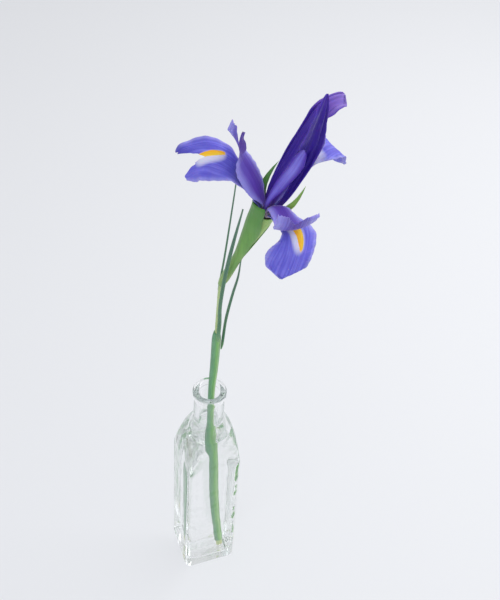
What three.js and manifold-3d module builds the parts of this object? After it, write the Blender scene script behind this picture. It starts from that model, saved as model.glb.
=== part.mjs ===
// One cut Dutch iris standing in a square glass bottle of water.
// Millimetres, +Z up. The origin is the middle of the bottle's underside, and the
// bottle's faces look along X and Y.
import * as THREE from 'three';
import { mergeVertices } from 'three/addons/utils/BufferGeometryUtils.js';
import Module from 'manifold-3d';

const wasm = await Module();
wasm.setup();

// ---- driving dimensions ----
const GAP = 0.3; // clearance kept between pieces that touch
const PETAL_THICKNESS = 0.7;
const LEAF_THICKNESS = 0.9;
const BRACT_THICKNESS = 0.6;

// bottle: half widths of the square body, heights above the table
const BODY_HALF = 25;
const BODY_CORNER = 7;
const BOTTLE_HEIGHT = 242;
const SHOULDER_START = 156;
const NECK_START = 202;
const NECK_RADIUS = 13.3;
const LIP_RADIUS = 14.25;
const LIP_HEIGHT = 6;
const BORE_RADIUS = 8.7;
const WALL = 4;
const CAVITY_CORNER = 8;
const FLOOR = 9;
const WATER_LEVEL = 190;

// flower: where its petals meet, and how its axis leans
const FLOWER_AT = new THREE.Vector3(13, -54.3, 478);
const FLOWER_LEAN = 15;
const FLOWER_LEAN_TOWARDS = -61;

// spathe: where the two bracts leave the stem
const SPATHE_AT = new THREE.Vector3(-2.1, -20.8, 386);
const SPATHE_LEAN = 21.3;
const SPATHE_LEAN_TOWARDS = -67.8;

const OVARY_FOOT = 64; // where the ovary starts, up the spathe's axis
const TUBE_TOP_RADIUS = 4.9;
const STEM_TOP_RADIUS = 1.5;
const STEM_FOOT_TILT = 0.35; // how far the cut foot's edge hangs below its middle

// leaf sheath: where it starts and ends, as places between 0 and 1 along the stem
const SHEATH_BOTTOM = 0.02;
const SHEATH_TOP = 0.715;

// how finely each kind of piece is divided: blades across and along, the rest along and round
const LEAF_GRID = [2, 16];
const BRACT_GRID = [14, 22];
const FALL_GRID = [8, 18];
const ARM_GRID = [10, 16];
const STANDARD_GRID = [6, 16];
const STEM_GRID = [48, 12];
const OVARY_GRID = [16, 16];
const STAMEN_GRID = [14, 8];

// ---- small helpers ----
const rad = THREE.MathUtils.degToRad;

// A smooth value at a place between 0 and 1, through [place, value] keys.
function follow(keys, place) {
  if (typeof keys === 'number') return keys;
  const last = keys.length - 1;
  if (place <= keys[0][0]) return keys[0][1];
  if (place >= keys[last][0]) return keys[last][1];
  const k = keys.findIndex((key, i) => i < last && place <= keys[i + 1][0]);
  const slope = (i) => {
    const a = keys[Math.max(i - 1, 0)];
    const b = keys[Math.min(i + 1, last)];
    return (b[1] - a[1]) / (b[0] - a[0]);
  };
  const step = keys[k + 1][0] - keys[k][0];
  const t = (place - keys[k][0]) / step;
  const t2 = t * t;
  const t3 = t2 * t;
  return (2 * t3 - 3 * t2 + 1) * keys[k][1] + (t3 - 2 * t2 + t) * slope(k) * step
    + (3 * t2 - 2 * t3) * keys[k + 1][1] + (t3 - t2) * slope(k + 1) * step;
}

// A closed geometry from points and triangles of point numbers.
function closedGeometry(points, triangles) {
  const positions = points.flatMap((p) => [p.x, p.y, p.z]);
  const geometry = new THREE.BufferGeometry();
  geometry.setAttribute('position', new THREE.Float32BufferAttribute(positions, 3));
  geometry.setIndex(triangles.flat());
  return geometry;
}

// ---- blades: petals, bracts and leaves ----

// The midrib of a petal: it starts at its seat and turns by pitch (above the plane
// across the axis), yaw (to the side) and roll (about itself) as it runs outward.
function ribFromAngles(spec, steps) {
  const rib = [];
  const at = new THREE.Vector3(spec.seat[0], 0, spec.seat[1]);
  const heading = (place) => {
    const pitch = rad(follow(spec.pitch, place));
    const yaw = rad(follow(spec.yaw ?? 0, place));
    const along = new THREE.Vector3(Math.cos(yaw), Math.sin(yaw), 0).multiplyScalar(Math.cos(pitch));
    along.z = Math.sin(pitch);
    return { along, side: new THREE.Vector3(-Math.sin(yaw), Math.cos(yaw), 0) };
  };
  for (let k = 0; k <= steps; k += 1) {
    if (k > 0) at.addScaledVector(heading((k - 0.5) / steps).along, spec.length / steps);
    const { along, side } = heading(k / steps);
    const roll = rad(follow(spec.roll ?? 0, k / steps));
    side.applyAxisAngle(along, roll);
    rib.push({ at: at.clone(), side, up: along.clone().cross(side) });
  }
  return rib;
}

// The midrib of a leaf along a curve, its upper face turned towards a direction.
function ribFromCurve(curve, facing, steps) {
  return Array.from({ length: steps + 1 }, (_, k) => {
    const along = curve.getTangentAt(k / steps);
    const side = facing.clone().cross(along).normalize();
    return { at: curve.getPointAt(k / steps), side, up: along.clone().cross(side) };
  });
}

function ribAt(rib, place) {
  const x = THREE.MathUtils.clamp(place, 0, 1) * (rib.length - 1);
  const k = Math.min(Math.floor(x), rib.length - 2);
  const mix = (key) => rib[k][key].clone().lerp(rib[k + 1][key], x - k);
  return { at: mix('at'), side: mix('side'), up: mix('up') };
}

// One point of a blade: across runs from -1 to 1, along from 0 to 1. A crop makes the
// blade's sides end earlier than its middle, a notch the other way round.
function bladePoint(spec, rib, across, along) {
  const place = along * follow(spec.crop ?? 1, Math.abs(across));
  const notch = (spec.notch ?? 0) * Math.max(1 - Math.abs(across) / (spec.notchWidth ?? 1), 0);
  const slant = Math.max(-(spec.slant ?? 0) * across, 0);
  const { at, side, up } = ribAt(rib, place * (1 - notch - slant));
  let half = follow(spec.width, place);
  const roundFrom = spec.roundFrom ?? 1;
  if (place > roundFrom) {
    const round = Math.sqrt(Math.max(1 - ((place - roundFrom) / (1 - roundFrom)) ** 2, 0));
    half = half * round * 0.92 + 0.08 * half + 0.2;
  }
  const cup = rad(follow(spec.cup ?? 0, place)) || 1e-4;
  const arc = Math.abs(across) * cup * (1 + follow(spec.lopsided ?? 0, place) * Math.sign(across));
  const flat = (half * Math.sin(arc)) / cup;
  const rise = (half * (1 - Math.cos(arc))) / cup;
  const fold = rad(follow(spec.fold ?? 0, place));
  const out = flat * Math.cos(fold) - rise * Math.sin(fold);
  let lift = flat * Math.sin(fold) + rise * Math.cos(fold);
  const phase = (spec.waves ?? 3) * place + (across > 0 ? 0 : 0.37);
  lift += follow(spec.ruffle ?? 0, place) * across * across * Math.sin(2 * Math.PI * phase);
  const point = at.addScaledVector(side, out * Math.sign(across)).addScaledVector(up, lift);
  return spec.flatten ? spec.flatten(point) : point;
}

// A blade of even thickness, split into the same triangles on both faces.
// Rows lie closer together towards a rounded end.
function bladeGeometry(spec, rib, thickness, [across, along]) {
  const crowding = spec.roundFrom ? 1.3 : 1;
  const grid = Array.from({ length: along + 1 }, (_row, j) => {
    const place = 1 - (1 - j / along) ** crowding;
    return Array.from({ length: across + 1 }, (_, i) => bladePoint(spec, rib, (2 * i) / across - 1, place));
  });
  const { clamp } = THREE.MathUtils;
  const pick = (j, i) => grid[clamp(j, 0, along)][clamp(i, 0, across)];
  const faces = [1, -1].map((sign) => grid.map((row, j) => row.map((point, i) => {
    const lengthwise = pick(j + 1, i).clone().sub(pick(j - 1, i));
    const crosswise = pick(j, i + 1).clone().sub(pick(j, i - 1));
    return point.clone().addScaledVector(lengthwise.cross(crosswise).normalize(), (sign * thickness) / 2);
  })));
  const points = faces.flat(2);
  const upper = (j, i) => j * (across + 1) + i;
  const lower = (j, i) => (along + 1) * (across + 1) + upper(j, i);
  const triangles = [];
  for (let j = 0; j < along; j += 1) {
    for (let i = 0; i < across; i += 1) {
      triangles.push([upper(j, i), upper(j + 1, i), upper(j + 1, i + 1)]);
      triangles.push([upper(j, i), upper(j + 1, i + 1), upper(j, i + 1)]);
      triangles.push([lower(j, i), lower(j + 1, i + 1), lower(j + 1, i)]);
      triangles.push([lower(j, i), lower(j, i + 1), lower(j + 1, i + 1)]);
    }
  }
  const rim = [];
  for (let i = 0; i < across; i += 1) rim.push([0, i]);
  for (let j = 0; j < along; j += 1) rim.push([j, across]);
  for (let i = across; i > 0; i -= 1) rim.push([along, i]);
  for (let j = along; j > 0; j -= 1) rim.push([j, 0]);
  rim.forEach((here, k) => {
    const next = rim[(k + 1) % rim.length];
    triangles.push([upper(...here), upper(...next), lower(...next)]);
    triangles.push([upper(...here), lower(...next), lower(...here)]);
  });
  return closedGeometry(points, triangles);
}

// ---- round and square bodies ----

// A body from rings of equal point counts, each patch split along its shorter diagonal.
// Its ends are closed with a flat fan, or the last ring joins the first.
function ringsGeometry(rings, looped = false) {
  const around = rings[0].length;
  const points = rings.flat();
  const triangles = [];
  const joins = looped ? rings.length : rings.length - 1;
  for (let j = 0; j < joins; j += 1) {
    const low = j * around;
    const high = ((j + 1) % rings.length) * around;
    for (let i = 0; i < around; i += 1) {
      const next = (i + 1) % around;
      const rising = points[low + i].distanceTo(points[high + next]);
      const falling = points[low + next].distanceTo(points[high + i]);
      if (rising <= falling) {
        triangles.push([low + i, low + next, high + next], [low + i, high + next, high + i]);
      } else {
        triangles.push([low + i, low + next, high + i], [low + next, high + next, high + i]);
      }
    }
  }
  if (!looped) {
    [[0, true], [(rings.length - 1) * around, false]].forEach(([start, bottom]) => {
      const middle = new THREE.Vector3();
      for (let i = 0; i < around; i += 1) middle.addScaledVector(points[start + i], 1 / around);
      points.push(middle);
      for (let i = 0; i < around; i += 1) {
        const pair = [start + i, start + ((i + 1) % around)];
        triangles.push([points.length - 1, ...(bottom ? pair.reverse() : pair)]);
      }
    });
  }
  return closedGeometry(points, triangles);
}

// Rings of a round stem along a curve, of a radius given by place.
function stemRings(curve, radius, [rows, sides], from = 0, to = 1) {
  const frames = curve.computeFrenetFrames(rows, false);
  const rings = [];
  for (let k = 0; k <= rows; k += 1) {
    const place = k / rows;
    if (place < from || place > to) continue;
    const middle = curve.getPointAt(place);
    rings.push(Array.from({ length: sides }, (_, i) => {
      const turn = (2 * Math.PI * i) / sides;
      return middle.clone()
        .addScaledVector(frames.normals[k], radius(place) * Math.cos(turn))
        .addScaledVector(frames.binormals[k], radius(place) * Math.sin(turn));
    }));
  }
  return rings;
}

// How far a square with rounded corners reaches at an angle.
function squareReach(half, corner, angle) {
  const folded = Math.abs(((angle % (Math.PI / 2)) + Math.PI / 2) % (Math.PI / 2));
  const turn = Math.min(folded, Math.PI / 2 - folded);
  const inner = half - corner;
  if (half * Math.tan(turn) <= inner) return half / Math.cos(turn);
  const toward = inner * (Math.cos(turn) + Math.sin(turn));
  return toward + Math.sqrt(toward ** 2 - 2 * inner ** 2 + corner ** 2);
}

// Angles round the bottle: close together at the rounded corners of the body.
const AROUND = [];
for (let quarter = 0; quarter < 4; quarter += 1) {
  for (const degrees of [0, 14, 27, 36, 40.5, 45, 49.5, 54, 63, 76]) AROUND.push(rad(90 * quarter + degrees));
}

function bottleRing([height, half, corner]) {
  return AROUND.map((angle) => {
    const reach = squareReach(half, Math.min(corner, half), angle);
    return new THREE.Vector3(reach * Math.cos(angle), reach * Math.sin(angle), height);
  });
}

// The shoulder swells from the square body to the round neck.
function shoulder(bodyHalf, bodyCorner, neckRadius, low, high) {
  return [0, 18, 36, 54, 72].map((degrees) => {
    const turn = rad(degrees);
    const half = neckRadius + (bodyHalf - neckRadius) * Math.cos(turn);
    const corner = THREE.MathUtils.lerp(bodyCorner, half, Math.sin(turn) ** 0.8);
    return [low + (high - low) * 0.98 * Math.sin(turn), half, corner];
  });
}

function outerProfile() {
  const lipBottom = BOTTLE_HEIGHT - LIP_HEIGHT;
  return [
    [0, BODY_HALF - 2.5, BODY_CORNER - 2],
    [0.8, BODY_HALF - 0.8, BODY_CORNER - 0.6],
    [3, BODY_HALF, BODY_CORNER],
    [SHOULDER_START / 2, BODY_HALF, BODY_CORNER],
    ...shoulder(BODY_HALF, BODY_CORNER, NECK_RADIUS, SHOULDER_START, NECK_START),
    [NECK_START + 2, NECK_RADIUS, NECK_RADIUS],
    [lipBottom - 1, NECK_RADIUS - 0.6, NECK_RADIUS],
    [lipBottom + 0.6, LIP_RADIUS - 0.3, LIP_RADIUS],
    [lipBottom + 3, LIP_RADIUS, LIP_RADIUS],
    [BOTTLE_HEIGHT - 1, LIP_RADIUS - 0.4, LIP_RADIUS],
    [BOTTLE_HEIGHT, LIP_RADIUS - 1.8, LIP_RADIUS],
  ];
}

// The cavity from its floor up to the mouth, made smaller all round by a clearance.
function cavityProfile(clear = 0) {
  const half = BODY_HALF - WALL - clear;
  const bore = BORE_RADIUS - clear;
  const floor = FLOOR + clear;
  return [
    [floor, half - 5, CAVITY_CORNER],
    [floor + 1.2, half - 1.6, CAVITY_CORNER],
    [floor + 5, half, CAVITY_CORNER],
    [SHOULDER_START / 2, half, CAVITY_CORNER],
    ...shoulder(half, CAVITY_CORNER, bore, SHOULDER_START - 2, NECK_START - 1),
    [NECK_START + 2, bore, bore],
    [BOTTLE_HEIGHT - 2.5, bore, bore],
    [BOTTLE_HEIGHT - 0.7, bore + 0.7, bore + 0.7],
    [BOTTLE_HEIGHT, bore + 2, bore + 2],
  ];
}

// ---- solids joined and cut ----
function toSolid(geometry) {
  const bare = geometry.clone();
  bare.deleteAttribute('normal');
  bare.deleteAttribute('uv');
  const merged = mergeVertices(bare, 1e-4);
  return new wasm.Manifold(new wasm.Mesh({
    numProp: 3,
    vertProperties: new Float32Array(merged.attributes.position.array),
    triVerts: new Uint32Array(merged.index.array),
  }));
}

function fromSolid(solid) {
  const { vertProperties, triVerts } = solid.getMesh();
  const geometry = new THREE.BufferGeometry();
  geometry.setAttribute('position', new THREE.BufferAttribute(Float32Array.from(vertProperties), 3));
  geometry.setIndex(Array.from(triVerts));
  return geometry;
}

// ---- finishes ----
const finish = (color, roughness, extra = {}) => new THREE.MeshStandardMaterial({
  color, roughness, metalness: 0, side: THREE.DoubleSide, ...extra,
});
const finishes = {
  glass: finish('#dfeeea', 0.05, { transparent: true, opacity: 0.35 }),
  water: finish('#f2f8f6', 0.02, { transparent: true, opacity: 0.3 }),
  stem: finish('#7fae72', 0.5),
  leaf: finish('#3f7a5c', 0.5),
  bract: finish('#6f9e4c', 0.5),
  fall: finish('#7d78e0', 0.55),
  standard: finish('#3b1a96', 0.5),
  arm: finish('#7a55cf', 0.5),
  stamen: finish('#d9d3ee', 0.6),
  ovary: finish('#86ad66', 0.5),
};

const flower = new THREE.Group();
const spathe = new THREE.Group();
const plant = new THREE.Group();

function addPiece(group, name, geometry, material) {
  geometry.computeVertexNormals();
  const mesh = new THREE.Mesh(geometry, material);
  mesh.name = name;
  group.add(mesh);
  return mesh;
}

// Turn a group so that its +Z leans by an angle towards an azimuth.
function lean(group, at, angle, towards) {
  const axis = new THREE.Vector3(-Math.sin(rad(towards)), Math.cos(rad(towards)), 0);
  group.quaternion.setFromAxisAngle(axis, rad(angle));
  group.position.copy(at);
}
lean(flower, FLOWER_AT, FLOWER_LEAN, FLOWER_LEAN_TOWARDS);
lean(spathe, SPATHE_AT, SPATHE_LEAN, SPATHE_LEAN_TOWARDS);

// Points on the flower's and the spathe's own axes.
function onAxis(group, height) {
  return new THREE.Vector3(0, 0, height).applyQuaternion(group.quaternion).add(group.position);
}
const inFlower = (height) => onAxis(flower, height);
const inSpathe = (height) => onAxis(spathe, height);

function addBlade(group, name, spec, thickness, material, grid) {
  const rib = ribFromAngles(spec, 4 * grid[1]);
  const mesh = addPiece(group, name, bladeGeometry(spec, rib, thickness, grid), material);
  mesh.rotation.z = rad(spec.azimuth);
}

// ---- petals: azimuths and angles in the flower's own frame, seats as [radius, height] ----
const FALL = {
  seat: [4.3, 0.65],
  width: [[0, 2.1], [0.2, 4], [0.42, 6], [0.56, 13], [0.8, 17], [1, 15]],
  roundFrom: 0.8,
  cup: [[0, 30], [0.3, 14], [0.45, 8], [0.6, 2], [1, -8]],
  ruffle: [[0, 0], [0.5, 0], [0.8, 1.2], [1, 1.5]],
  waves: 4,
};
const falls = {
  fall_left: {
    ...FALL,
    azimuth: 150,
    length: 74,
    pitch: [[0, 52], [0.38, 42], [0.56, 20], [0.7, -15], [0.86, -45], [1, -60]],
    yaw: [[0, 0], [0.5, 0], [1, 8]],
    roll: [[0, 0], [0.38, 0], [0.6, -22], [0.86, -25], [1, -20]],
    width: [[0, 2.1], [0.15, 4], [0.3, 6], [0.45, 7.5], [0.6, 12], [0.86, 14], [1, 11]],
    roundFrom: 1,
    lopsided: 0.1,
    slant: -0.06,
    notch: 0.26,
    notchWidth: 0.75,
  },
  fall_front: {
    ...FALL,
    azimuth: -86,
    length: 58,
    pitch: [[0, 46], [0.3, 22], [0.5, -6], [0.7, -48], [1, -85]],
    yaw: [[0, 0], [0.4, 0], [0.7, -25], [1, -45]],
    roll: [[0, 0], [0.5, 5], [1, 10]],
    width: [[0, 2.1], [0.2, 4], [0.4, 7], [0.5, 11], [0.65, 14], [0.85, 13], [1, 11]],
    roundFrom: 0.88,
    slant: -0.15,
    lopsided: [[0.3, 0], [0.45, 0.4], [0.65, 0.05], [0.8, -0.12], [1, -0.15]],
  },
  fall_back: {
    ...FALL,
    azimuth: 32,
    length: 80,
    pitch: [[0, 55], [0.45, 40], [0.6, 6], [0.8, -50], [1, -90]],
    yaw: [[0, 0], [0.5, 0], [1, -15]],
    width: [[0, 2.1], [0.2, 4], [0.45, 5.5], [0.6, 12], [0.82, 15], [1, 13]],
  },
};

const ARM = {
  seat: [1.9, 1.1],
  cup: [[0, -20], [0.5, -34], [0.7, -15], [1, 15]],
  notch: 0.24,
  notchWidth: 0.4,
  ruffle: [[0, 0], [0.7, 0], [1, 1.5]],
  waves: 5,
};
const arms = {
  style_arm_left: {
    ...ARM,
    azimuth: 146,
    length: 64,
    pitch: [[0, 74], [0.2, 58], [0.5, 46], [0.7, 58], [0.85, 80], [1, 90]],
    yaw: [[0, 0], [0.6, 0], [1, 25]],
    roll: [[0, 0], [0.5, -12], [0.68, 0], [0.85, 35], [1, 50]],
    width: [[0, 1.2], [0.12, 3.8], [0.28, 8.8], [0.5, 9.7], [0.65, 8.3], [0.85, 8], [1, 5.5]],
    lopsided: [[0.6, 0], [0.85, -0.2], [1, -0.6]],
  },
  style_arm_front: {
    ...ARM,
    azimuth: -84,
    length: 54,
    pitch: [[0, 82], [0.12, 74], [0.25, 44], [0.45, 2], [0.6, 6], [0.76, 62], [1, 100]],
    yaw: [[0, 0], [0.5, -6], [0.75, -30], [1, -30]],
    roll: [[0, 0], [0.4, 0], [0.6, 12], [0.78, 20], [1, 20]],
    width: [[0, 1.2], [0.12, 3.6], [0.25, 6.2], [0.45, 8], [0.62, 10], [0.78, 14], [1, 14]],
    notch: 0.1,
    cup: [[0, -20], [0.45, -30], [0.58, 0], [0.7, 28], [1, 30]],
    lopsided: [[0, -0.15], [0.25, -0.15], [0.5, 0], [0.75, 0.18], [1, 0.18]],
  },
  style_arm_back: {
    ...ARM,
    azimuth: 40,
    length: 59,
    pitch: [[0, 70], [0.2, 56], [0.5, 47], [0.68, 52], [0.8, 62], [1, 76]],
    width: [[0, 1.2], [0.2, 3.7], [0.5, 6.5], [0.68, 8], [0.85, 9], [1, 8]],
    cup: [[0, -20], [0.5, -34], [0.7, -10], [1, 40]],
  },
};

const STANDARD = {
  seat: [3.9, 0.65],
  ruffle: [[0, 0], [0.4, 0.3], [1, 0.8]],
};
const standards = {
  standard_left: {
    ...STANDARD,
    azimuth: 100,
    length: 88,
    pitch: [[0, 66], [0.28, 60], [0.65, 58], [0.78, 50], [1, 5]],
    yaw: [[0, -10], [0.18, -50], [0.55, -64], [0.74, -67], [1, -112]],
    width: [[0, 1.1], [0.23, 2.6], [0.46, 4.5], [0.7, 5], [0.84, 8.5], [1, 8]],
    roundFrom: 0.96,
    cup: [[0, 20], [0.5, 45], [1, 15]],
    lopsided: [[0.7, -0.5], [0.85, -0.75]],
  },
  standard_right: {
    ...STANDARD,
    azimuth: -18,
    length: 84,
    pitch: [[0, 62], [0.3, 67], [0.5, 72], [0.7, 68], [1, 66]],
    yaw: [[0, 15], [0.25, 56], [0.45, 62], [0.65, 86], [1, 108]],
    width: [[0, 1.1], [0.25, 2.8], [0.45, 4.8], [0.65, 7.5], [0.8, 7], [0.9, 4.5], [1, 0.8]],
    cup: [[0, 50], [0.3, 40], [0.5, 26], [1, 15]],
    lopsided: [[0.4, 0.15], [0.65, 0.35], [1, 0.35]],
    roll: [[0, 0], [0.4, 0], [0.7, 20], [1, 20]],
  },
  standard_front: {
    ...STANDARD,
    azimuth: -157,
    length: 52,
    pitch: [[0, 84], [0.2, 95], [0.4, 121], [0.6, 121], [1, 100]],
    width: [[0, 1.1], [0.25, 2], [0.5, 4], [0.8, 4.6], [1, 3.5]],
    roundFrom: 0.8,
    fold: 20,
  },
};

// Thread and anther lie between each style arm and the haft of its fall.
const STAMEN = {
  seat: [3.05, 0.95],
  length: 31,
  pitch: [[0, 60], [0.4, 50], [1, 44]],
  radius: [[0, 0.45], [0.5, 0.4], [0.58, 0.65], [0.7, 0.85], [0.9, 0.75], [1, 0.4]],
};
const stamens = {
  stamen_left: { ...STAMEN, azimuth: 148, pitch: [[0, 62], [0.4, 50], [1, 45]] },
  stamen_front: { ...STAMEN, azimuth: -86, pitch: [[0, 52], [0.4, 34], [1, 26]], length: 27 },
  stamen_back: { ...STAMEN, azimuth: 35, pitch: [[0, 63], [0.4, 51], [1, 44]] },
};

function stamenGeometry(spec) {
  const [rows, sides] = STAMEN_GRID;
  const rib = ribFromAngles(spec, rows);
  const rings = rib.map(({ at, side, up }, k) => Array.from({ length: sides }, (_, i) => {
    const radius = follow(spec.radius, k / rows);
    const turn = (2 * Math.PI * i) / sides;
    return at.clone()
      .addScaledVector(up, -radius * Math.cos(turn))
      .addScaledVector(side, radius * Math.sin(turn));
  }));
  return ringsGeometry(rings);
}

// ---- stem, leaves and spathe ----
const stemRadius = (place) => follow([
  [0, 3.1], [0.06, 2.9], [0.38, 2.4], [0.5, 1.9], [1, STEM_TOP_RADIUS],
], place);
const sheathRadius = (place) => follow([
  [SHEATH_BOTTOM, 4.1], [0.3, 4.4], [0.4, 3.6], [0.5, 2.9], [0.6, 3.4], [SHEATH_TOP, 3.7],
], place);

// From the cut foot on the bottle's floor, through the mouth, to the ovary.
function stemCurve() {
  return new THREE.CatmullRomCurve3([
    new THREE.Vector3(12.6, 0, FLOOR + GAP + STEM_FOOT_TILT),
    new THREE.Vector3(9.5, 0.4, 40),
    new THREE.Vector3(5.3, 0.9, 90),
    new THREE.Vector3(3.4, 1, 140),
    new THREE.Vector3(2.6, 0.8, 190),
    new THREE.Vector3(1.2, -1.5, 243),
    new THREE.Vector3(1.1, -5.2, 279),
    new THREE.Vector3(0, -10.3, 324),
    new THREE.Vector3(-1.3, -15.2, 358),
    inSpathe(0),
    inSpathe(34),
    inSpathe(OVARY_FOOT - GAP),
  ], false, 'centripetal');
}

// The ovary swells at the top of the stem. The perianth tube above it bends from the
// spathe's axis to the flower's, and opens to a flat top that the petals stand on.
function ovaryGeometry() {
  const curve = new THREE.CatmullRomCurve3([
    inSpathe(OVARY_FOOT), inSpathe(OVARY_FOOT + 17), inFlower(-3), inFlower(0),
  ]);
  const radius = (place) => follow([
    [0, STEM_TOP_RADIUS], [0.12, 2.5], [0.6, 2.5], [0.78, 2.2], [0.9, 3], [0.97, TUBE_TOP_RADIUS],
  ], place);
  return ringsGeometry(stemRings(curve, radius, OVARY_GRID));
}

const curveThrough = (...points) => new THREE.CatmullRomCurve3(points.map((p) => new THREE.Vector3(...p)));

// Leaves are narrow and folded along their midrib. Each starts against the sheath.
const LEAF = { fold: 24 };
const leaves = {
  leaf_left: {
    ...LEAF,
    curve: curveThrough(
      [-1.9, -15.9, 376], [-1, -15.8, 386], [1.2, -15.7, 407], [4.3, -17, 454], [5.5, -17.5, 474],
    ),
    facing: [-1, 1, 0],
    width: [[0, 1.3], [0.3, 1.1], [0.7, 0.7], [1, 0.35]],
  },
  leaf_front: {
    ...LEAF,
    curve: curveThrough(
      [-0.3, -14, 317], [-1.8, -20, 345], [-4, -25.4, 369], [-4.4, -33.5, 408], [-4.2, -42, 440],
      [-3.6, -55, 483.5],
    ),
    facing: [-0.6, -1, 0],
    width: [[0, 1.5], [0.3, 1.3], [0.7, 1.2], [1, 0.35]],
  },
  leaf_right: {
    ...LEAF,
    curve: curveThrough(
      [4.6, -9, 302], [4.5, -10.7, 316], [5.6, -12, 339], [8.8, -14.8, 368], [10.9, -17.8, 387],
      [11.5, -20.1, 406],
    ),
    facing: [1, 0.1, 0],
    width: [[0, 2], [0.3, 1.7], [0.7, 1.2], [1, 0.4]],
  },
};

// The foot of the leaves is a tube round the stem.
function sheathGeometry(curve) {
  const clearOfStem = (place) => stemRadius(place) + GAP;
  const outer = stemRings(curve, sheathRadius, STEM_GRID, SHEATH_BOTTOM, SHEATH_TOP);
  const inner = stemRings(curve, clearOfStem, STEM_GRID, SHEATH_BOTTOM, SHEATH_TOP);
  return ringsGeometry([...outer, ...inner.reverse()], true);
}

// The spathe is round about the stem and flatter towards its top, from front to back.
const SPATHE_FRONT = -113; // azimuth
const FLATTER = [[40, 1], [75, 0.78], [97, 0.78], [112, 1]]; // height up the spathe, share of the depth
function flattened(azimuth) {
  const turn = rad(SPATHE_FRONT - azimuth);
  const front = new THREE.Vector3(Math.cos(turn), Math.sin(turn), 0);
  return (point) => point.addScaledVector(front, (follow(FLATTER, point.z) - 1) * point.dot(front));
}

const bracts = {
  spathe_outer: {
    azimuth: 92,
    flatten: flattened(92),
    seat: [2.6, 0],
    length: 128,
    pitch: [
      [0, 79], [0.045, 84], [0.075, 89.9], [0.3, 89.5], [0.37, 85], [0.48, 83], [0.6, 84], [0.78, 84],
      [0.83, 63], [0.88, 54], [1, 54],
    ],
    yaw: [[0, 0], [0.8, 0], [0.88, -35], [1, -60]],
    width: [
      [0, 6.1], [0.055, 8.1], [0.32, 8.6], [0.42, 11.4], [0.55, 15.9], [0.67, 19.2], [0.76, 18.6], [1, 18.6],
    ],
    cup: [[0, 136], [0.6, 136], [0.76, 120], [1, 120]],
    crop: [[0, 1], [0.143, 0.85], [0.286, 0.81], [0.429, 0.812], [1, 0.815]],
    lopsided: 0.265,
    slant: 0.062,
  },
  spathe_inner: {
    azimuth: -30,
    flatten: flattened(-30),
    seat: [2.35, 6],
    length: 125,
    pitch: [
      [0, 89.9], [0.27, 89.5], [0.34, 85], [0.46, 83.2], [0.6, 84], [0.76, 84], [0.8, 66], [0.85, 56],
      [1, 80],
    ],
    yaw: [[0, 0], [0.79, 0], [0.87, 50], [1, 90]],
    width: [[0, 4.6], [0.28, 4.8], [0.39, 6.8], [0.52, 10.5], [0.65, 13.6], [0.75, 15], [1, 15]],
    cup: 112,
    lopsided: -0.12,
    crop: [[0, 1], [0.143, 0.84], [0.286, 0.76], [0.429, 0.747], [1, 0.735]],
  },
};

// ---- bottle and water ----
const glassGeometry = () => ringsGeometry(
  [...outerProfile(), ...cavityProfile().reverse()].map(bottleRing),
);

// Water fills the cavity up to its level, with a plain hole for the stem and sheath.
function waterGeometry(curve) {
  const profile = cavityProfile(GAP);
  const above = profile.findIndex(([height]) => height > WATER_LEVEL);
  const [low, high] = [profile[above - 1], profile[above]];
  const mix = (WATER_LEVEL - low[0]) / (high[0] - low[0]);
  const surface = low.map((value, i) => THREE.MathUtils.lerp(value, high[i], mix));
  const body = toSolid(ringsGeometry([...profile.slice(0, above), surface].map(bottleRing)));

  const half = 0.5; // the hole leaves the water well below this place on the stem
  const reach = (place) => (place < SHEATH_BOTTOM ? stemRadius(place) : sheathRadius(place));
  const hole = stemRings(curve, (place) => reach(place) + GAP, STEM_GRID, 0, half);
  hole.unshift(hole[0].map((point) => point.clone().setZ(0)));
  return fromSolid(body.subtract(toSolid(ringsGeometry(hole))));
}

// ---- the whole object ----
const stemLine = stemCurve();
addPiece(plant, 'glass_bottle', glassGeometry(), finishes.glass);
addPiece(plant, 'water', waterGeometry(stemLine), finishes.water);
addPiece(plant, 'stem', ringsGeometry(stemRings(stemLine, stemRadius, STEM_GRID)), finishes.stem);
addPiece(plant, 'leaf_sheath', sheathGeometry(stemLine), finishes.leaf);
addPiece(plant, 'ovary', ovaryGeometry(), finishes.ovary);
for (const [name, spec] of Object.entries(leaves)) {
  const rib = ribFromCurve(spec.curve, new THREE.Vector3(...spec.facing), 40);
  addPiece(plant, name, bladeGeometry(spec, rib, LEAF_THICKNESS, LEAF_GRID), finishes.leaf);
}
for (const [name, spec] of Object.entries(bracts)) {
  addBlade(spathe, name, spec, BRACT_THICKNESS, finishes.bract, BRACT_GRID);
}
for (const [name, spec] of Object.entries(falls)) {
  addBlade(flower, name, spec, PETAL_THICKNESS, finishes.fall, FALL_GRID);
}
for (const [name, spec] of Object.entries(stamens)) {
  const stamen = addPiece(flower, name, stamenGeometry(spec), finishes.stamen);
  stamen.rotation.z = rad(spec.azimuth);
}
for (const [name, spec] of Object.entries(arms)) {
  addBlade(flower, name, spec, PETAL_THICKNESS, finishes.arm, ARM_GRID);
}
for (const [name, spec] of Object.entries(standards)) {
  addBlade(flower, name, spec, PETAL_THICKNESS, finishes.standard, STANDARD_GRID);
}
plant.add(spathe, flower);

export default plant;
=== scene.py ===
"""One cut Dutch iris in a square glass bottle of water: the finished forms and surfaces."""
import math
import bmesh
import bpy
from mathutils import Matrix, Quaternion, Vector, noise


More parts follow.
